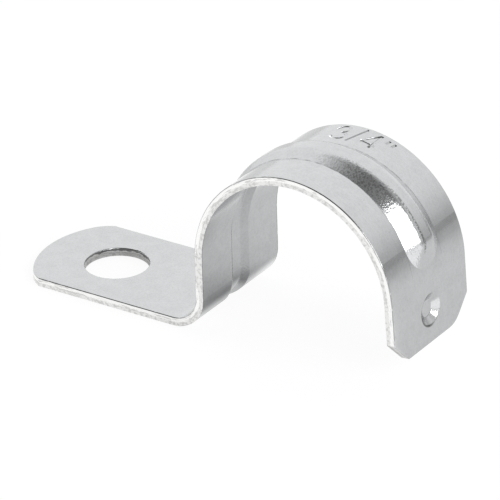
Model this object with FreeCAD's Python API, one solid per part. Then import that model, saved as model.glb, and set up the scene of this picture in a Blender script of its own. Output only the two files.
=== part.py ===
"""One-hole conduit strap, pressed from one strip of zinc-plated steel. Millimetres.

The origin is the centre of the screw hole on the mounting face, +Z points away from the
wall that the strap is screwed to, +X runs towards the free leg and +Y along the tube.
"""
import FreeCAD, Part
import math
import os

Vector = FreeCAD.Vector

# Strip and tube
SHEET = 1.0                   # thickness of the strip
EDGE_ROLL = 0.12              # radius that shearing leaves on the strip's outward edges
STRAP_WIDTH = 15.0            # width of the strip, along the tube
TUBE_DIAMETER = 23.42         # outside of 3/4 inch thin-wall conduit
TUBE_CLEARANCE = 0.04         # between the tube and the arch, on the radius
AXIS_HEIGHT = 9.15            # tube axis above the mounting face, less than the tube's radius
MOUTH_EASE = 0.25             # extra radius from the bead's end to the leg, where the arch opens

# Foot, with its screw hole
HOLE_DIAMETER = 7.4
HOLE_TO_AXIS = 28.6           # screw hole to tube axis
FOOT_REACH = 9.3              # foot beyond the middle of the hole
FOOT_END_RADIUS = 10.3        # the foot's end is one shallow arc
FOOT_CORNER = 4.5             # radius where that arc runs out to the sides
CUTOFF_OVERRUN = 0.35         # the cut-off punch is this much wider than the strip, each side
HEEL_RADIUS = 3.2             # inside radius of the bend between foot and wall

# Free leg
LEG_FLARE = 3.0               # degrees that the leg leans out from the tube
TIP_HEIGHT = 2.4              # tip of the leg above the mounting face
TIP_CHAMFER = 2.7             # corners cut off the tip
TIP_ROUND = 0.4               # radius at the ends of those cuts
WORN_TIP_ROUND = 3.0          # the same at the tip's corner on the +Y side, where the punch is worn

# Stiffening bead, pressed outwards along the middle of the strip
BEAD_TOP_WIDTH = 2.2
BEAD_FLANK = 30.0             # slope of its sides, degrees
BEAD_SHOULDER = 1.4           # outside radius between top and sides
BEAD_WALL_HEIGHT = 0.52       # on the upright wall
BEAD_CROWN_HEIGHT = 0.82      # over the top of the arch
BEAD_HEEL_RADIUS = 3.6        # radius of its top through the bend at the foot
BEAD_HEEL_ANGLE = 20.0        # degrees at which it runs out into the foot
BEAD_END = 25.5               # degrees above the tube axis where its blunt end starts
BEAD_END_FLAT = 1.2           # straight part across that end

# Dimple that bears on the side of the tube, pressed inwards through the leg
DIMPLE_DIAMETER = 3.8
DIMPLE_FLOOR = 1.9            # diameter of its flat floor
DIMPLE_DEPTH = 0.6
DIMPLE_ROLL = 0.4             # radius at its rim and round its floor
DIMPLE_HEIGHT = 6.3           # above the mounting face

CUT_MARGIN = 1.0              # how far a cutting tool reaches past what it cuts
TOUCHING = 1e-4               # points closer than this are one point

across = Vector(0, 1, 0)
upward = Vector(0, 0, 1)
half_width = STRAP_WIDTH / 2
inner_radius = TUBE_DIAMETER / 2 + TUBE_CLEARANCE
outer_radius = inner_radius + SHEET
tube_axis = Vector(HOLE_TO_AXIS, 0, AXIS_HEIGHT)
heel_centre = Vector(HOLE_TO_AXIS - outer_radius - HEEL_RADIUS, 0, SHEET + HEEL_RADIUS)


def direction(degrees):
    """Unit vector in side view, at this angle above +X."""
    angle = math.radians(degrees)
    return Vector(math.cos(angle), 0, math.sin(angle))


mouth_centre = tube_axis - direction(BEAD_END) * MOUTH_EASE


def arc(centre, radius, start, end):
    """Arc in side view round a centre, from one angle to another."""
    first, middle, last = [centre + direction(angle) * radius for angle in (start, (start + end) / 2, end)]
    return Part.Arc(first, middle, last).toShape()


def rounded_face(corners, radii):
    """Flat face with these corners, each rounded to its own radius."""
    edges = []
    runs = []
    for index, (corner, radius) in enumerate(zip(corners, radii)):
        back = (corners[index - 1] - corner).normalize()
        ahead = (corners[(index + 1) % len(corners)] - corner).normalize()
        half_angle = back.getAngle(ahead) / 2
        run = radius / math.tan(half_angle)
        runs.append((corner + back * run, corner + ahead * run))
        if radius > 0:
            bisector = (back + ahead).normalize()
            middle = corner + bisector * (radius / math.sin(half_angle) - radius)
            edges.append(Part.Arc(runs[-1][0], middle, runs[-1][1]).toShape())
    for index, (start, _) in enumerate(runs):
        edges.append(Part.makeLine(runs[index - 1][1], start))
    return Part.Face(Part.Wire(Part.__sortEdges__(edges)))


# ---- Side view: heel, wall, arch and mouth ------------------------------------------------

def side_line(offset):
    """Side view from heel to leg, this far outwards from the face that meets the tube."""
    radius = inner_radius + offset
    wall = HOLE_TO_AXIS - radius
    return [
        arc(heel_centre, HEEL_RADIUS + SHEET - offset, -90, 0),
        Part.makeLine(Vector(wall, 0, heel_centre.z), Vector(wall, 0, AXIS_HEIGHT)),
        arc(tube_axis, radius, 180, BEAD_END),
        arc(mouth_centre, radius + MOUTH_EASE, BEAD_END, LEG_FLARE),
    ]


def spread(face):
    """Solid that carries a side-view face across the width of the strip."""
    solid = face.extrude(across * STRAP_WIDTH)
    solid.translate(across * -half_width)
    return solid


def side_face(edges, corners):
    """Side-view face bounded by the edges and by straight lines through the corners."""
    path = [edges[-1].lastVertex().Point] + corners + [edges[0].firstVertex().Point]
    closing = [Part.makeLine(start, end) for start, end in zip(path, path[1:])]
    return Part.Face(Part.Wire(edges + closing))


def arched_strip():
    inner = side_line(0)
    outer = side_line(SHEET)
    ends = [
        Part.makeLine(inner[0].firstVertex().Point, outer[0].firstVertex().Point),
        Part.makeLine(inner[-1].lastVertex().Point, outer[-1].lastVertex().Point),
    ]
    return spread(Part.Face(Part.Wire(Part.__sortEdges__(inner + outer + ends))))


# ---- Foot ----------------------------------------------------------------------------------

def foot_plate():
    """Flat foot: a plain strip whose end is punched off to an arc."""
    punch_width = STRAP_WIDTH + 2 * CUTOFF_OVERRUN
    middle = FOOT_END_RADIUS - FOOT_REACH
    end = Part.makeBox(FOOT_END_RADIUS, punch_width, SHEET, Vector(-FOOT_REACH, -punch_width / 2, 0))
    end = end.common(Part.makeCylinder(FOOT_END_RADIUS, SHEET, Vector(middle, 0, 0)))
    corners = [edge for edge in end.Edges if is_corner(edge, middle)]
    end = end.makeFillet(FOOT_CORNER, corners)
    strip = Part.makeBox(
        heel_centre.x + FOOT_REACH, STRAP_WIDTH, SHEET, Vector(-FOOT_REACH, -half_width, 0))
    beyond = Part.makeBox(
        heel_centre.x - middle, STRAP_WIDTH, SHEET, Vector(middle, -half_width, 0))
    return strip.common(end).fuse(beyond)


def is_corner(edge, middle):
    """True for the two upright edges where the end's arc meets the sides."""
    ends = [vertex.Point for vertex in edge.Vertexes]
    upright = len(ends) == 2 and abs(ends[0].x - ends[1].x) + abs(ends[0].y - ends[1].y) < TOUCHING
    return upright and ends[0].x < middle - TOUCHING


# ---- Free leg ------------------------------------------------------------------------------

leg_out = direction(LEG_FLARE)
leg_down = direction(LEG_FLARE - 90)
leg_top = mouth_centre + leg_out * (inner_radius + MOUTH_EASE)


def leg_point(height):
    """Point on the leg's inner face at this height above the mounting face."""
    return leg_top + leg_down * ((leg_top.z - height) / -leg_down.z)


def leg_plate():
    """Flat leg with its two corners cut off."""
    tip = leg_point(TIP_HEIGHT)
    shoulder = tip - leg_down * TIP_CHAMFER
    side = across * half_width
    nose = across * (half_width - TIP_CHAMFER)
    corners = [leg_top - side, shoulder - side, tip - nose, tip + nose, shoulder + side, leg_top + side]
    radii = [0, TIP_ROUND, TIP_ROUND, WORN_TIP_ROUND, TIP_ROUND, 0]
    return rounded_face(corners, radii).extrude(leg_out * SHEET)


dimple_slope = (DIMPLE_DIAMETER - DIMPLE_FLOOR) / 2 / DIMPLE_DEPTH
dimple_steepness = math.atan(1 / dimple_slope)


def dimple_pocket():
    """Hollow of the dimple, with its rim and the edge of its floor rolled over."""
    rim_centre = leg_point(DIMPLE_HEIGHT) + leg_out * SHEET
    floor_centre = rim_centre - leg_out * DIMPLE_DEPTH
    above = leg_out * CUT_MARGIN
    beside = across * DIMPLE_DIAMETER
    corners = [
        rim_centre + above, rim_centre + above + beside, rim_centre + beside,
        rim_centre + across * (DIMPLE_DIAMETER / 2), floor_centre + across * (DIMPLE_FLOOR / 2),
        floor_centre]
    section = rounded_face(corners, [0, 0, 0, DIMPLE_ROLL, DIMPLE_ROLL, 0])
    return section.revolve(rim_centre, leg_out, 360)


def dimple_bump():
    """Inner side of the dimple, which beds on the tube."""
    floor = DIMPLE_FLOOR / 2 + SHEET * math.tan(dimple_steepness / 2)
    depth = DIMPLE_DEPTH + SHEET / 2
    middle = leg_point(DIMPLE_HEIGHT) + leg_out * (SHEET / 2)
    bump = Part.makeCone(floor + depth * dimple_slope, floor, depth, middle, leg_out * -1)
    tube_space = Part.makeCylinder(inner_radius, STRAP_WIDTH, tube_axis - across * half_width, across)
    return bump.cut(tube_space)


# ---- Bead ----------------------------------------------------------------------------------

flank = math.radians(BEAD_FLANK)
bead_shift = BEAD_CROWN_HEIGHT - BEAD_WALL_HEIGHT
bead_axis = tube_axis + Vector(bead_shift, 0, 0)
bead_radius = outer_radius + BEAD_CROWN_HEIGHT
bead_depth = BEAD_CROWN_HEIGHT + bead_shift + SHEET + CUT_MARGIN
bead_heel_centre = Vector(
    bead_axis.x - bead_radius - BEAD_HEEL_RADIUS, 0,
    SHEET + BEAD_HEEL_RADIUS * math.cos(math.radians(BEAD_HEEL_ANGLE)))


def bead_half_widths(inset):
    """Half widths at the bead's top and at its root, this far inside its outer face."""
    top = BEAD_TOP_WIDTH / 2 - inset * math.tan(flank / 2)
    return top, top + (bead_depth - inset) / math.tan(flank)


def bead_section(inset, crest):
    """Section of the bead, square to the strip, with the middle of its top at the crest."""
    top, root = bead_half_widths(inset)
    out = Vector(-1, 0, 0)
    high = crest - out * inset
    low = crest - out * bead_depth
    corners = [low - across * root, high - across * top, high + across * top, low + across * root]
    radius = BEAD_SHOULDER - inset
    return rounded_face(corners, [0, radius, radius, 0])


def bead_end_section(inset, crest, out, side):
    """Half of the section beside the bead's flat end, from the crest towards one side."""
    top, root = [width - BEAD_END_FLAT / 2 for width in bead_half_widths(inset)]
    high = crest - out * inset
    low = crest - out * bead_depth
    corners = [low, high, high + side * top, low + side * root]
    return rounded_face(corners, [0, 0, BEAD_SHOULDER - inset, 0])


def bead_end(inset):
    """Blunt end over the leg: a straight ramp between two quarter turns."""
    out = direction(BEAD_END)
    ahead = direction(BEAD_END - 90)
    crest = bead_axis + out * bead_radius
    right = across * (BEAD_END_FLAT / 2)
    ramp = bead_end_section(inset, crest - right, out, ahead).extrude(right * 2)
    far = bead_end_section(inset, crest + right, out, across).revolve(crest + right, out * -1, 90)
    near = bead_end_section(inset, crest - right, out, across * -1).revolve(crest - right, out, 90)
    return ramp.fuse([far, near])


def bead(inset):
    """Whole bead as a solid: its outer form, or its hollow when inset by the sheet."""
    wall_crest = bead_axis - Vector(bead_radius, 0, 0)
    section = bead_section(inset, wall_crest)
    over_arch = section.revolve(bead_axis, across, 180 - BEAD_END)
    drop = upward * (bead_heel_centre.z - wall_crest.z)
    up_wall = section.extrude(drop)
    heel_section = bead_section(inset, wall_crest + drop)
    round_heel = heel_section.revolve(bead_heel_centre, across, 90)
    return over_arch.fuse([up_wall, round_heel, bead_end(inset)])


def inner_side():
    """Everything on the tube's side of the strip."""
    below = -bead_depth - CUT_MARGIN
    tip = leg_point(0)
    corners = [tip, Vector(tip.x, 0, below), Vector(-FOOT_REACH, 0, below), Vector(-FOOT_REACH, 0, 0)]
    return spread(side_face(side_line(0), corners))


# ---- Strap ---------------------------------------------------------------------------------

def outward_edges(body):
    """Edges between the strip's outward face and its sheared sides."""
    foot_top = Part.makeLine(Vector(-FOOT_REACH, 0, SHEET), Vector(heel_centre.x, 0, SHEET))
    leg_face = Part.makeLine(leg_point(0) + leg_out * SHEET, leg_top + leg_out * SHEET)
    outline = Part.Compound(side_line(SHEET) + [foot_top, leg_face])
    found = []
    for edge in body.Edges:
        middle = edge.valueAt((edge.FirstParameter + edge.LastParameter) / 2)
        flat = [Vector(point.x, 0, point.z) for point in [middle] + [v.Point for v in edge.Vertexes]]
        gaps = [Part.Vertex(point).distToShape(outline)[0] for point in flat]
        if max(gaps) < TOUCHING and (edge.isClosed() or abs(middle.y) > TOUCHING):
            found.append(edge)
    return found


def strap():
    body = arched_strip().fuse([foot_plate(), leg_plate()]).removeSplitter()
    hole = Part.makeCylinder(HOLE_DIAMETER / 2, SHEET + 2 * CUT_MARGIN, upward * -CUT_MARGIN)
    body = body.cut(hole)
    body = body.makeFillet(EDGE_ROLL, outward_edges(body))
    body = body.fuse([bead(0).cut(inner_side()), dimple_bump()])
    body = body.cut([bead(SHEET), dimple_pocket()]).removeSplitter()
    return body


os.makedirs("parts", exist_ok=True)
strap().exportStep("parts/strap.step")
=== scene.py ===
import math

import bmesh
import bpy
from mathutils import Matrix, Vector, interpolate
from mathutils.bvhtree import BVHTree


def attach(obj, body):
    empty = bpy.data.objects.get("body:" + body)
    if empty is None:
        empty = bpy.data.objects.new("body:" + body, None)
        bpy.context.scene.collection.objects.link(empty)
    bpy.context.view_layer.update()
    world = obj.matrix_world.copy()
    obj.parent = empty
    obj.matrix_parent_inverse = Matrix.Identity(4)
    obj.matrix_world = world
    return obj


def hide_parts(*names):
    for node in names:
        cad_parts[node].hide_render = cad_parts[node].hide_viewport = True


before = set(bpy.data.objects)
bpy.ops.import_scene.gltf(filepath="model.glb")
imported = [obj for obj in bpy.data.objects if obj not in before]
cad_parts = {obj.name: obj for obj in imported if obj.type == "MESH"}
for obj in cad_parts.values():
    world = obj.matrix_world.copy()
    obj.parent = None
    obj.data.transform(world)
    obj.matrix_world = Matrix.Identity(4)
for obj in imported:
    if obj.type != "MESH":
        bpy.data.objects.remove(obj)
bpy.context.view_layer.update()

# ---- Strap ----------------------------------------------------------------------------------
# One strip of cold-rolled steel, sheared, punched, folded and beaded in a press, struck with
# the size of its tube, and plated with zinc. A screw through its foot fixes it to a wall, and
# its arch holds the tube there.
MM = 0.001
SHEET = 1.0 * MM
ARCH_AXIS = Vector((28.6, 0, 9.15)) * MM
ARCH_INSIDE = 11.75 * MM
ARCH_OUTSIDE = ARCH_INSIDE + SHEET
HEEL_CENTRE = Vector((12.65, 0, 4.2)) * MM
HEEL_TUBE_SIDE = 4.2 * MM
LEG_FLARE = math.radians(3.0)
LEG_TOP = Vector((40.375, 0, 9.775)) * MM
LEG_OUT = Vector((math.cos(LEG_FLARE), 0, math.sin(LEG_FLARE)))
SAME_POINT = 0.0001 * MM

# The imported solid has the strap's real form. A merged copy stands in for it, because the size
# is struck into it and its sheared faces have a finish of their own.
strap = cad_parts["strap"]
strip = bmesh.new()
strip.from_mesh(strap.data)
bmesh.ops.remove_doubles(strip, verts=strip.verts, dist=SAME_POINT)
body_mesh = bpy.data.meshes.new("strap_body")
strip.to_mesh(body_mesh)
strip.free()
body = bpy.data.objects.new("strap_body", body_mesh)
bpy.context.collection.objects.link(body)

# The stamp: three quarters of an inch, the tube's trade size, as plain figures beside the bead.
# Its round nose leaves shallow grooves with a round bottom.
STAMP_NOSE = 0.18 * MM
STAMP_DEPTH = 0.11 * MM
# each stroke is a line through (degrees round the arch, millimetres across the strip)
THREE = ((101.4, 6.1), (100.2, 6.75), (97.0, 6.95), (94.4, 6.5), (94.6, 5.6), (97.4, 5.35),
         (94.0, 5.2), (92.6, 4.5), (94.0, 3.85), (97.6, 3.6), (100.6, 4.3))
SLASH = ((90.2, 3.65), (88.2, 5.4), (86.2, 7.1))
FOUR_UPRIGHT = ((77.8, 3.9), (77.7, 5.4), (77.6, 7.0))
FOUR_SLOPE = ((77.8, 6.95), (80.8, 5.85), (84.0, 4.75))
FOUR_BAR = ((83.9, 4.6), (80.0, 4.55), (75.8, 4.5))
INCH_MARKS = (((72.7, 6.85), (73.3, 6.05)), ((69.3, 6.85), (69.9, 6.05)))

strokes = bpy.data.curves.new("stamp", "CURVE")
strokes.dimensions = "3D"
strokes.bevel_depth = STAMP_NOSE
strokes.bevel_resolution = 3
strokes.resolution_u = 4
strokes.use_fill_caps = True
nose_height = ARCH_OUTSIDE + STAMP_NOSE - STAMP_DEPTH
for points in (THREE, SLASH, FOUR_UPRIGHT, FOUR_SLOPE, FOUR_BAR, *INCH_MARKS):
    line = strokes.splines.new("NURBS" if points is THREE else "POLY")
    line.points.add(len(points) - 1)
    for knot, (degrees, across) in zip(line.points, points):
        angle = math.radians(degrees)
        knot.co = (ARCH_AXIS.x + nose_height * math.cos(angle), across * MM,
                   ARCH_AXIS.z + nose_height * math.sin(angle), 1)
    if points is THREE:
        line.order_u = 3
        line.use_endpoint_u = True
stamp_curve = bpy.data.objects.new("stamp_curve", strokes)
bpy.context.collection.objects.link(stamp_curve)
bpy.context.view_layer.update()
evaluated = stamp_curve.evaluated_get(bpy.context.evaluated_depsgraph_get())
stamp = bpy.data.objects.new("stamp", bpy.data.meshes.new_from_object(evaluated))
bpy.data.objects.remove(stamp_curve)
bpy.context.collection.objects.link(stamp)

strike = body.modifiers.new("strike", "BOOLEAN")
strike.operation = "DIFFERENCE"
strike.solver = "EXACT"
strike.use_self = True
strike.object = stamp
bpy.context.view_layer.update()
evaluated = body.evaluated_get(bpy.context.evaluated_depsgraph_get())
struck = bpy.data.meshes.new_from_object(evaluated)
body.modifiers.clear()
bpy.data.objects.remove(stamp)
body.data = struck
struck.name = "strap_body"

# The grooves are smooth inside and crisp at their edges. Elsewhere the copy takes back the exact
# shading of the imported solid.
CRISP_EDGE = math.radians(24)
OFF_THE_SOLID = 0.002 * MM
INTO_THE_FACE = 0.05
struck.shade_smooth()
struck.set_sharp_from_angle(angle=CRISP_EDGE)
solid = strap.data
solid_faces = BVHTree.FromPolygons([vertex.co for vertex in solid.vertices],
                                   [face.vertices[:] for face in solid.polygons])


def solid_normal(point, inside):
    """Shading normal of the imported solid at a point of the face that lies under 'inside'."""
    nearest = solid.polygons[solid_faces.find_nearest(inside)[2]]
    corners = [solid.vertices[index].co for index in nearest.vertices]
    normals = [solid.corner_normals[index].vector for index in nearest.loop_indices]
    shares = interpolate.poly_3d_calc(corners, point)
    return sum((normal * share for normal, share in zip(normals, shares)), Vector()).normalized()


shading = []
for face in struck.polygons:
    stamped = solid_faces.find_nearest(face.center)[3] > OFF_THE_SOLID
    for corner in face.loop_indices:
        point = struck.vertices[struck.loops[corner].vertex_index].co
        if stamped:
            shading.append(struck.corner_normals[corner].vector.copy())
        else:
            shading.append(solid_normal(point, point.lerp(face.center, INTO_THE_FACE)))
struck.normals_split_custom_set(shading)


def through_sheet(point):
    """How deep a point lies in the sheet: 0 on the tube's side, 1 on the outward side."""
    if point.x < HEEL_CENTRE.x:
        depth = point.z
    elif point.z < HEEL_CENTRE.z and point.x < ARCH_AXIS.x:
        from_centre = math.hypot(point.x - HEEL_CENTRE.x, point.z - HEEL_CENTRE.z)
        depth = HEEL_TUBE_SIDE - from_centre
    elif point.z < ARCH_AXIS.z and point.x < ARCH_AXIS.x:
        depth = ARCH_AXIS.x - ARCH_INSIDE - point.x
    elif point.z > LEG_TOP.z:
        depth = math.hypot(point.x - ARCH_AXIS.x, point.z - ARCH_AXIS.z) - ARCH_INSIDE
    else:
        depth = (point - LEG_TOP).dot(LEG_OUT)
    return min(max(depth / SHEET, 0), 1)


depths = struck.attributes.new("through_sheet", "FLOAT", "POINT")
for vertex, depth in zip(struck.vertices, depths.data):
    depth.value = through_sheet(vertex.co)


def linear(hex_colour):
    """An sRGB hex colour as the linear RGBA that the nodes take."""
    channels = [int(hex_colour[i:i + 2], 16) / 255 for i in (1, 3, 5)]
    return [c / 12.92 if c <= 0.04045 else ((c + 0.055) / 1.055) ** 2.4 for c in channels] + [1.0]


def add_node(tree, kind, settings=None, *values, **named):
    """Adds a node with its settings and inputs. An input that is a node links its first output."""
    node = tree.nodes.new("ShaderNode" + kind)
    for name, value in (settings or {}).items():
        setattr(node, name, value)
    inputs = dict(enumerate(values))
    inputs.update({name.replace("_", " "): value for name, value in named.items()})
    for key, value in inputs.items():
        if isinstance(value, bpy.types.Node):
            value = value.outputs[0]
        if isinstance(value, bpy.types.NodeSocket):
            tree.links.new(value, node.inputs[key])
        else:
            node.inputs[key].default_value = value
    return node


# Settings of the nodes that do sums. With SOFT, a map range goes softly from 0 to 1, or from its
# fourth input to its fifth, as its first goes from its second to its third.
PLUS, MINUS, TIMES, TIMES_PLUS, GREATER, SIZE, SCALED, LENGTH, DOT = (
    {"operation": name} for name in ("ADD", "SUBTRACT", "MULTIPLY", "MULTIPLY_ADD", "MAXIMUM",
                                     "ABSOLUTE", "SCALE", "LENGTH", "DOT_PRODUCT"))
SOFT = {"interpolation_type": "SMOOTHSTEP"}
TO_MM = 1 / MM

# Bright zinc plating on cold-rolled steel: a neutral grey metal, smooth on the flats, where the
# sheet's grain and faint clouds show, and coarse as orange peel where the bead stretched it.
ZINC = "#D6D7D8"
ZINC_CLOUD = "#CDCECF"
# grey of the pinholes, of the painted shade in the bead's crease and of a painted dark line on
# sheared edges
PAINTED_DARK_AND_PINHOLE_GREY = "#8E8F90"
# grey of the painted shade and painted dark reflections on the zinc, some over real pits
PAINTED_DARK_ZINC = "#5E5E5E"
CLOUDS = 0.6            # per mm: faint clouds 1.7 mm across
GRAIN = 3.2             # per mm: rolled grain of 0.05 mm, drawn at 0.3 mm so that it shows
PEEL = 4.5              # per mm: orange peel and pits about 0.2 mm across
WANDER = 1.1            # per mm: what breaks up the lines of dirt and thin plating, 0.9 mm long
PINHOLES = 0.8          # per mm: sparse pinholes 0.1 mm across
STREAK_TURNS = 1.6      # per radian: drawn streaks run 8 mm round the arch
STREAK_LINES = 3.0      # per mm: and are 0.3 mm apart
GRAIN_HEIGHT = 0.0012   # heights of the relief, in mm
PEEL_HEIGHT = 0.022
STREAK_HEIGHT = 0.003
ZINC_ROUGHNESS = 0.15
CREASE_FROM_MIDDLE = 2.52024    # the crease's place across the strip, in mm, on top of the arch
CREASE_SWING = 0.5196           # and how far it moves out towards the leg
SHOULDER_FROM_MIDDLE = 0.62     # mm
DIMPLE_BELOW_AXIS = 2.85        # mm
DIMPLE_RIM = 1.84               # radius, in mm

zinc = bpy.data.materials.new("zinc_plated_steel")
zinc.use_nodes = True
tree = zinc.node_tree
tree.nodes.clear()
place = add_node(tree, "TexCoord").outputs["Object"]
from_axis = add_node(tree, "VectorMath", MINUS, place, ARCH_AXIS)
local = add_node(tree, "VectorMath", SCALED, from_axis, Scale=TO_MM)
axes = add_node(tree, "SeparateXYZ", None, local).outputs
turn_angle = add_node(tree, "Math", {"operation": "ARCTAN2"}, axes["Z"], axes["X"])
beside_axis = add_node(tree, "VectorMath", TIMES, local, (1, 0, 1))
radius = add_node(tree, "VectorMath", LENGTH, beside_axis).outputs["Value"]
aside = add_node(tree, "Math", SIZE, axes["Y"])

cloud = add_node(tree, "TexNoise", None, Vector=local, Scale=CLOUDS, Detail=4.0, Roughness=0.65)
grain = add_node(tree, "TexNoise", None, Vector=local, Scale=GRAIN, Detail=2.0, Roughness=0.6)
peel = add_node(tree, "TexNoise", None, Vector=local, Scale=PEEL, Detail=1.0, Roughness=0.5)
wander = add_node(tree, "TexNoise", None, Vector=local, Scale=WANDER, Detail=2.0)
clouded = add_node(tree, "Math", PLUS,
                   add_node(tree, "MapRange", SOFT, cloud, 0.35, 0.7, 0.0, 0.6),
                   add_node(tree, "MapRange", SOFT, grain, 0.4, 0.65, 0.0, 0.5))
colour = add_node(tree, "MixRGB", None, clouded, linear(ZINC), linear(ZINC_CLOUD))

# drawn streaks round the arch
streak_place = add_node(tree, "CombineXYZ", None,
                        add_node(tree, "Math", TIMES, turn_angle, STREAK_TURNS),
                        add_node(tree, "Math", TIMES, axes["Y"], STREAK_LINES))
streak = add_node(tree, "TexNoise", None, Vector=streak_place,
                  Scale=1.0, Detail=3.0, Roughness=0.65)
on_arch = add_node(tree, "MapRange", SOFT, axes["Z"], 1.0, 6.0)
streaks = add_node(tree, "Math", TIMES, add_node(tree, "Math", MINUS, streak, 0.5), on_arch)

# painted shade: a dark line in the crease at the foot of the bead, whose place follows the
# bead's height round the arch
cosine = add_node(tree, "Math", {"operation": "COSINE"}, turn_angle)
crease_line = add_node(tree, "Math", TIMES_PLUS, cosine, CREASE_SWING, CREASE_FROM_MIDDLE)
from_crease = add_node(tree, "Math", SIZE, add_node(tree, "Math", MINUS, aside, crease_line))
crease = on_arch
for value, low, high in ((from_crease, 0.13, 0.02), (radius, 12.6, 12.7), (wander, 0.35, 0.6)):
    step = add_node(tree, "MapRange", SOFT, value, low, high)
    crease = add_node(tree, "Math", TIMES, crease, step)
crease_shade = add_node(tree, "Math", TIMES, crease, 0.6)
colour = add_node(tree, "MixRGB", None, crease_shade, colour, linear(PAINTED_DARK_AND_PINHOLE_GREY))
colour = add_node(tree, "MixRGB", {"blend_type": "MULTIPLY"}, 1.0, colour,
                  add_node(tree, "Math", TIMES_PLUS, streaks, 0.12, 1.0))

# painted dark marks, painted shade and dark reflections, some over real pits, each as strong as
# its first number where all its soft steps meet
FLANK = ((aside, 0.4, 1.0), (aside, 2.95, 2.6), (radius, 12.72, 12.85))
from_shoulder = add_node(tree, "Math", PLUS, axes["Y"], SHOULDER_FROM_MIDDLE)
from_shoulder = add_node(tree, "Math", SIZE, from_shoulder)
above_dimple = add_node(tree, "Math", PLUS, axes["Z"], DIMPLE_BELOW_AXIS)
dimple_place = add_node(tree, "CombineXYZ", None, axes["Y"], above_dimple)
from_dimple = add_node(tree, "VectorMath", LENGTH, dimple_place).outputs["Value"]
from_rim = add_node(tree, "Math", SIZE, add_node(tree, "Math", MINUS, from_dimple, DIMPLE_RIM))
PAINTED_DARK_MARKS = (
    # pits on the bead's shoulder, by its blunt end, where the sheet stretched most, in a painted
    # dark reflection along the shoulder
    (0.65, (from_shoulder, 0.24, 0.08), (turn_angle, 1.05, 0.85), (turn_angle, 0.30, 0.36),
     (peel, 0.42, 0.52)),
    # pits on the same flank above that end, with a painted dark reflection on this near side only
    (0.42, *FLANK, (axes["Y"], 0.0, -0.4), (turn_angle, 0.80, 0.95), (turn_angle, 1.45, 1.25),
     (peel, 0.50, 0.62)),
    # a painted dark reflection along the rolled edges
    (0.7, (aside, 7.38, 7.44), (wander, 0.30, 0.45)),
    # painted shade on one side of the dimple's rim
    (0.85, (from_rim, 0.18, 0.06), (axes["X"], 10.0, 11.0), (axes["Y"], 0.9, -0.6)),
)
painted_dark = 0.0
for mark, *steps in PAINTED_DARK_MARKS:
    for value, low, high in steps:
        step = add_node(tree, "MapRange", SOFT, value, low, high)
        mark = add_node(tree, "Math", TIMES, mark, step)
    painted_dark = add_node(tree, "Math", GREATER, painted_dark, mark)
colour = add_node(tree, "MixRGB", None, painted_dark, colour, linear(PAINTED_DARK_ZINC))
pin = add_node(tree, "TexVoronoi", None, Vector=local, Scale=PINHOLES)
pinhole = add_node(tree, "MapRange", SOFT, pin, 0.07, 0.04, 0.0, 0.25)
colour = add_node(tree, "MixRGB", None, pinhole, colour, linear(PAINTED_DARK_AND_PINHOLE_GREY))

roughness = add_node(tree, "Math", TIMES_PLUS, cloud, 0.03, ZINC_ROUGHNESS)
roughness = add_node(tree, "Math", TIMES_PLUS, crease, 0.2, roughness)
raised = add_node(tree, "Math", MINUS, peel, 0.5)
for value, low, high in FLANK:
    step = add_node(tree, "MapRange", SOFT, value, low, high)
    raised = add_node(tree, "Math", TIMES, raised, step)
relief = add_node(tree, "Math", TIMES, grain, GRAIN_HEIGHT)
relief = add_node(tree, "Math", TIMES_PLUS, raised, PEEL_HEIGHT, relief)
relief = add_node(tree, "Math", TIMES_PLUS, streaks, STREAK_HEIGHT, relief)
bump = add_node(tree, "Bump", None, Strength=1.0, Distance=MM, Height=relief)
shader = add_node(tree, "BsdfPrincipled", None, Base_Color=colour, Metallic=1.0,
                  Roughness=roughness, Normal=bump)
add_node(tree, "OutputMaterial", None, shader)

# Zinc over a sheared edge: the shear rubs the outward half of the cut bright and tears the rest,
# so it is whiter and duller than the flats, with fine lines along it and grey specks.
SHEARED = "#ECECEB"
SHEARED_DULL = "#A6A6A5"
WAVES = 0.9              # per mm: the lines wave every 1.1 mm
LINES = 3.2              # through the sheet: lines of 0.1 mm, drawn at 0.3 mm so that they show
LINE_LENGTH = 0.45       # per mm: lines 2.2 mm long
SPECKS = 2.4             # per mm: specks of the torn face 0.4 mm across
SHEARED_ROUGHNESS = 0.22

sheared = bpy.data.materials.new("zinc_over_sheared_edge")
sheared.use_nodes = True
tree = sheared.node_tree
tree.nodes.clear()
place = add_node(tree, "TexCoord").outputs["Object"]
local = add_node(tree, "VectorMath", SCALED, place, Scale=TO_MM)
axes = add_node(tree, "SeparateXYZ", None, local).outputs
depth = add_node(tree, "Attribute", {"attribute_name": "through_sheet"}).outputs["Fac"]
waves = add_node(tree, "TexNoise", None, Vector=local, Scale=WAVES, Detail=3.0, Roughness=0.6)
wave = add_node(tree, "Math", MINUS, waves, 0.5)
wavy_depth = add_node(tree, "Math", TIMES_PLUS, wave, 0.16, depth)
line_place = add_node(tree, "CombineXYZ", None, add_node(tree, "Math", TIMES, wavy_depth, LINES),
                      add_node(tree, "Math", TIMES, axes["X"], LINE_LENGTH),
                      add_node(tree, "Math", TIMES, axes["Z"], LINE_LENGTH))
lines = add_node(tree, "TexNoise", None, Vector=line_place, Scale=1.0, Detail=3.0, Roughness=0.7)
specks = add_node(tree, "TexNoise", None, Vector=local, Scale=SPECKS, Detail=1.0, Roughness=0.5)
torn = add_node(tree, "MapRange", SOFT, wavy_depth, 0.55, 0.40)
specked = add_node(tree, "Math", TIMES, torn,
                   add_node(tree, "MapRange", SOFT, specks, 0.45, 0.65, 0.22, 0.62))
dull = add_node(tree, "Math", GREATER, specked,
                add_node(tree, "MapRange", SOFT, lines, 0.52, 0.62, 0.0, 0.6))
colour = add_node(tree, "MixRGB", None, dull, linear(SHEARED), linear(SHEARED_DULL))
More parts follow.
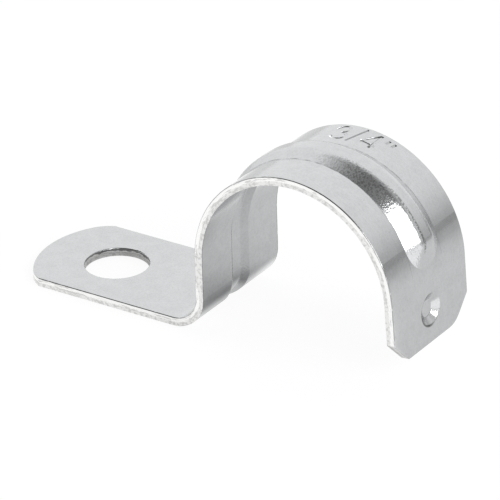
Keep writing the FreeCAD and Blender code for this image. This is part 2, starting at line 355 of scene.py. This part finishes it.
# a painted dark reflection: a thin dark line along the rolled edge
rim_depth = add_node(tree, "Math", TIMES_PLUS, wave, 0.08, depth)
rim = add_node(tree, "MapRange", SOFT, rim_depth, 0.88, 0.93, 0.0, 0.75)
colour = add_node(tree, "MixRGB", None, rim, colour, linear(PAINTED_DARK_AND_PINHOLE_GREY))
# the punch drags the plated face down into the screw hole over a torn wall; the dark, uneven
# band on it there is a painted dark reflection
from_hole = add_node(tree, "VectorMath", LENGTH, local).outputs["Value"]
in_hole = add_node(tree, "MapRange", SOFT, from_hole, 4.2, 4.0)
rollover_depth = add_node(tree, "Math", TIMES_PLUS, wave, 0.9, depth)
painted_hole_reflection = add_node(tree, "Math", TIMES, in_hole,
                   add_node(tree, "MapRange", SOFT, rollover_depth, 0.66, 0.74, 0.0, 0.8))
colour = add_node(tree, "MixRGB", None, painted_hole_reflection, colour, linear(PAINTED_DARK_ZINC))
roughness = add_node(tree, "Math", TIMES_PLUS, torn, 0.10, SHEARED_ROUGHNESS)
relief = add_node(tree, "Math", TIMES, add_node(tree, "Math", PLUS, lines, torn), 0.02)
bump = add_node(tree, "Bump", None, Strength=1.0, Distance=MM, Height=relief)
shader = add_node(tree, "BsdfPrincipled", None, Base_Color=colour, Metallic=1.0,
                  Roughness=roughness, Normal=bump)
add_node(tree, "OutputMaterial", None, shader)


def is_sheared(centre, normal):
    """True where the shear and the punches cut: sides, screw hole, foot's end and leg's tip."""
    if abs(normal.y) > 0.8:
        return True
    if centre.x < HEEL_CENTRE.x:
        return abs(normal.z) < 0.3
    on_leg = centre.x > ARCH_AXIS.x and centre.z < LEG_TOP.z
    return on_leg and abs(normal.dot(LEG_OUT)) < 0.1


struck.materials.append(zinc)
struck.materials.append(sheared)
for face in struck.polygons:
    face.material_index = int(is_sheared(face.center, face.normal))

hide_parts("strap")
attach(body, "root")

# ---- Studio ---------------------------------------------------------------------------------
# A sheet of white paper in a light tent of white cloth, with one large softbox to the right.
# The paper shows white, and a little of its own shading keeps the strap's shadow on it.
FLOOR_SIZE = 4.0
PAPER = "#CCCCCC"
SHOWN_GLOW = 0.90           # the paper as the camera sees it: this much white,
SHOWN_SHADING = 0.15        # and this much of its own shading
MIRRORED_SHADING = 0.238    # its own shading as the zinc mirrors it
bpy.ops.mesh.primitive_plane_add(size=FLOOR_SIZE, location=(0, 0, 0))
floor = bpy.context.object
floor.name = "floor"

paper = bpy.data.materials.new("white_paper")
paper.use_nodes = True
tree = paper.node_tree
tree.nodes.clear()
seen = add_node(tree, "LightPath").outputs
spot = add_node(tree, "TexCoord").outputs["Object"]
spot_axes = add_node(tree, "SeparateXYZ", None, spot).outputs

# in reflections the paper is brightest in front and on the left, shaded close to the heel and
# inside the screw hole, and falls away into the dark at the back on the right
HEEL_ON_FLOOR = (0.016, 0.0, 0.0)
HEEL_RAMP = 0.1             # the stops below cover this many metres from the heel
NEAR_HEEL = ((0.0, 0.13), (0.04, 0.23), (0.07, 0.38), (0.11, 0.52), (0.20, 0.57), (0.45, 0.60),
             (0.8, 0.59), (1.0, 0.62))
from_heel = add_node(tree, "VectorMath", {"operation": "DISTANCE"}, spot, HEEL_ON_FLOOR)
from_heel = from_heel.outputs["Value"]
near_heel = add_node(tree, "ValToRGB", None,
                     add_node(tree, "Math", TIMES, from_heel, 1 / HEEL_RAMP))
left_of_heel = add_node(tree, "Math", TIMES,
                        add_node(tree, "MapRange", SOFT, spot_axes["X"], 0.0180, 0.0155),
                        add_node(tree, "MapRange", SOFT, from_heel, 0.09, 0.03, 0.0, 0.42))
rightward = add_node(tree, "VectorMath", DOT, spot, (0.8, -0.6, 0.0)).outputs["Value"]
right_front = add_node(tree, "Math", TIMES,
                       add_node(tree, "MapRange", SOFT, rightward, 0.036, 0.042),
                       add_node(tree, "MapRange", SOFT, spot_axes["Y"], 0.012, 0.006, 0.0, 0.62))
front = add_node(tree, "MapRange", SOFT, spot_axes["Y"], -0.006, -0.014, 0.0, 0.62)
brighter = add_node(tree, "Math", GREATER, left_of_heel, front)
brighter = add_node(tree, "Math", GREATER, brighter, right_front)
backward = add_node(tree, "VectorMath", DOT, spot, (0.68, 0.73, 0.0)).outputs["Value"]
back_shade = add_node(tree, "MapRange", SOFT, backward, 0.05, 0.17, 0.0, 0.30)
from_hole = add_node(tree, "VectorMath", LENGTH, spot).outputs["Value"]
hole_shade = add_node(tree, "MapRange", SOFT, from_hole, 0.0042, 0.0034, 0.0, 0.60)
level = add_node(tree, "Math", PLUS, near_heel, brighter)
level = add_node(tree, "Math", MINUS, level, back_shade)
level = add_node(tree, "Math", MINUS | {"use_clamp": True}, level, hole_shade)

lit = add_node(tree, "BsdfDiffuse", None, linear(PAPER))
mirrored = add_node(tree, "AddShader", None,
                    add_node(tree, "BsdfDiffuse", None, (*[MIRRORED_SHADING] * 3, 1)),
                    add_node(tree, "Emission", None, (1, 1, 1, 1), level))
shown = add_node(tree, "AddShader", None,
                 add_node(tree, "BsdfDiffuse", None, (*[SHOWN_SHADING] * 3, 1)),
                 add_node(tree, "Emission", None, (1, 1, 1, 1), SHOWN_GLOW))
lit_or_mirrored = add_node(tree, "MixShader", None, seen["Is Glossy Ray"], lit, mirrored)
clean = add_node(tree, "MixShader", None, seen["Is Camera Ray"], lit_or_mirrored, shown)
add_node(tree, "OutputMaterial", None, clean)
floor.data.materials.append(paper)

# the tent is open above the lens and between the softbox and the back wall, and it is dark low
# down at the back on the right
world = bpy.data.worlds.new("light_tent")
bpy.context.scene.world = world
world.use_nodes = True
tree = world.node_tree
tree.nodes.clear()
seen = add_node(tree, "LightPath").outputs
sky = add_node(tree, "TexCoord").outputs["Generated"]
ABOVE_LENS = Vector((-0.2, -0.75, 0.63)).normalized()
BESIDE_SOFTBOX = Vector((0.447, -0.15, 0.88)).normalized()
RIGHT_BACK = Vector((0.8, 0.6, 0.0)).normalized()
FRONT_GAP = ((0.0, 1.0), (0.72, 1.0), (0.80, 0.45), (0.86, 0.14), (1.0, 0.05))
TOP_GAP = ((0.0, 1.0), (0.50, 1.0), (0.56, 0.94), (0.62, 0.80), (0.69, 0.66), (0.76, 0.52),
           (0.79, 0.45), (0.83, 0.39), (0.88, 0.34), (0.95, 0.21), (0.98, 0.22), (1.0, 0.27))
LOW_DOWN = ((0.0, 0.30), (0.05, 0.38), (0.11, 0.52), (0.20, 0.65), (0.29, 0.75), (0.41, 0.87),
            (0.57, 0.94), (0.72, 1.0), (1.0, 1.0))
towards_lens = add_node(tree, "VectorMath", DOT, sky, ABOVE_LENS).outputs["Value"]
towards_gap = add_node(tree, "VectorMath", DOT, sky, BESIDE_SOFTBOX).outputs["Value"]
height = add_node(tree, "SeparateXYZ", None, sky).outputs["Z"]
front_gap = add_node(tree, "ValToRGB", None, towards_lens)
top_gap = add_node(tree, "ValToRGB", None, towards_gap)
low_down = add_node(tree, "ValToRGB", None, height)
# each ramp's stops are (position, level of grey)
for ramp, stops in ((near_heel, NEAR_HEEL), (front_gap, FRONT_GAP), (top_gap, TOP_GAP),
                    (low_down, LOW_DOWN)):
    elements = ramp.color_ramp.elements
    elements[0].position, elements[1].position = stops[0][0], stops[-1][0]
    for position, grey in stops[1:-1]:
        elements.new(position)
    for element, (position, grey) in zip(elements, stops):
        element.color = (grey, grey, grey, 1)

opening = add_node(tree, "MixRGB", {"blend_type": "DARKEN"}, 1.0, front_gap, top_gap)
towards_back = add_node(tree, "VectorMath", DOT, sky, RIGHT_BACK).outputs["Value"]
at_right_back = add_node(tree, "MapRange", SOFT, towards_back, 0.70, 0.90)
low_right = add_node(tree, "MixRGB", None, at_right_back, (1, 1, 1, 1), low_down)
tent = add_node(tree, "MixRGB", {"blend_type": "MULTIPLY"}, 1.0, opening, low_right)
tent_light = add_node(tree, "Background", None, tent, 1.0)
backdrop = add_node(tree, "Background", None, (1, 1, 1, 1), 1.0)
both = add_node(tree, "MixShader", None, seen["Is Camera Ray"], tent_light, backdrop)
add_node(tree, "OutputWorld", None, both)

# the softbox hangs a metre from the arch
SOFTBOX_WIDTH = 0.9
SOFTBOX_HEIGHT = 0.64
SOFTBOX_POWER = 6.0
TOWARDS_SOFTBOX = Vector((0.858, -0.209, 0.469)).normalized()
softbox = bpy.data.lights.new("softbox_right", "AREA")
softbox.shape = "RECTANGLE"
softbox.size = SOFTBOX_WIDTH
softbox.size_y = SOFTBOX_HEIGHT
softbox.energy = SOFTBOX_POWER
softbox_object = bpy.data.objects.new("softbox_right", softbox)
bpy.context.collection.objects.link(softbox_object)
softbox_object.location = ARCH_AXIS + TOWARDS_SOFTBOX
softbox_object.rotation_euler = TOWARDS_SOFTBOX.to_track_quat("Z", "Y").to_euler()

# ---- Camera ---------------------------------------------------------------------------------
# A long lens, looking down at the strap from in front of its free leg.
AZIMUTH = math.radians(34.2)
ELEVATION = math.radians(27.35)
ROLL = math.radians(-1.75)
FROM_ARCH = Vector((-8.919, 9.015, 549.5)) * MM
camera_data = bpy.data.cameras.new("camera")
camera_data.lens = 360
camera_data.sensor_width = 36
camera_data.clip_end = 20
camera = bpy.data.objects.new("camera", camera_data)
bpy.context.collection.objects.link(camera)
turn = (Matrix.Rotation(AZIMUTH, 3, "Z") @ Matrix.Rotation(math.pi / 2 - ELEVATION, 3, "X")
        @ Matrix.Rotation(ROLL, 3, "Z"))
under_arch = Vector((ARCH_AXIS.x, 0, 0))
camera.matrix_world = Matrix.Translation(under_arch + turn @ FROM_ARCH) @ turn.to_4x4()
bpy.context.scene.camera = camera

bpy.context.scene.view_settings.view_transform = "Standard"
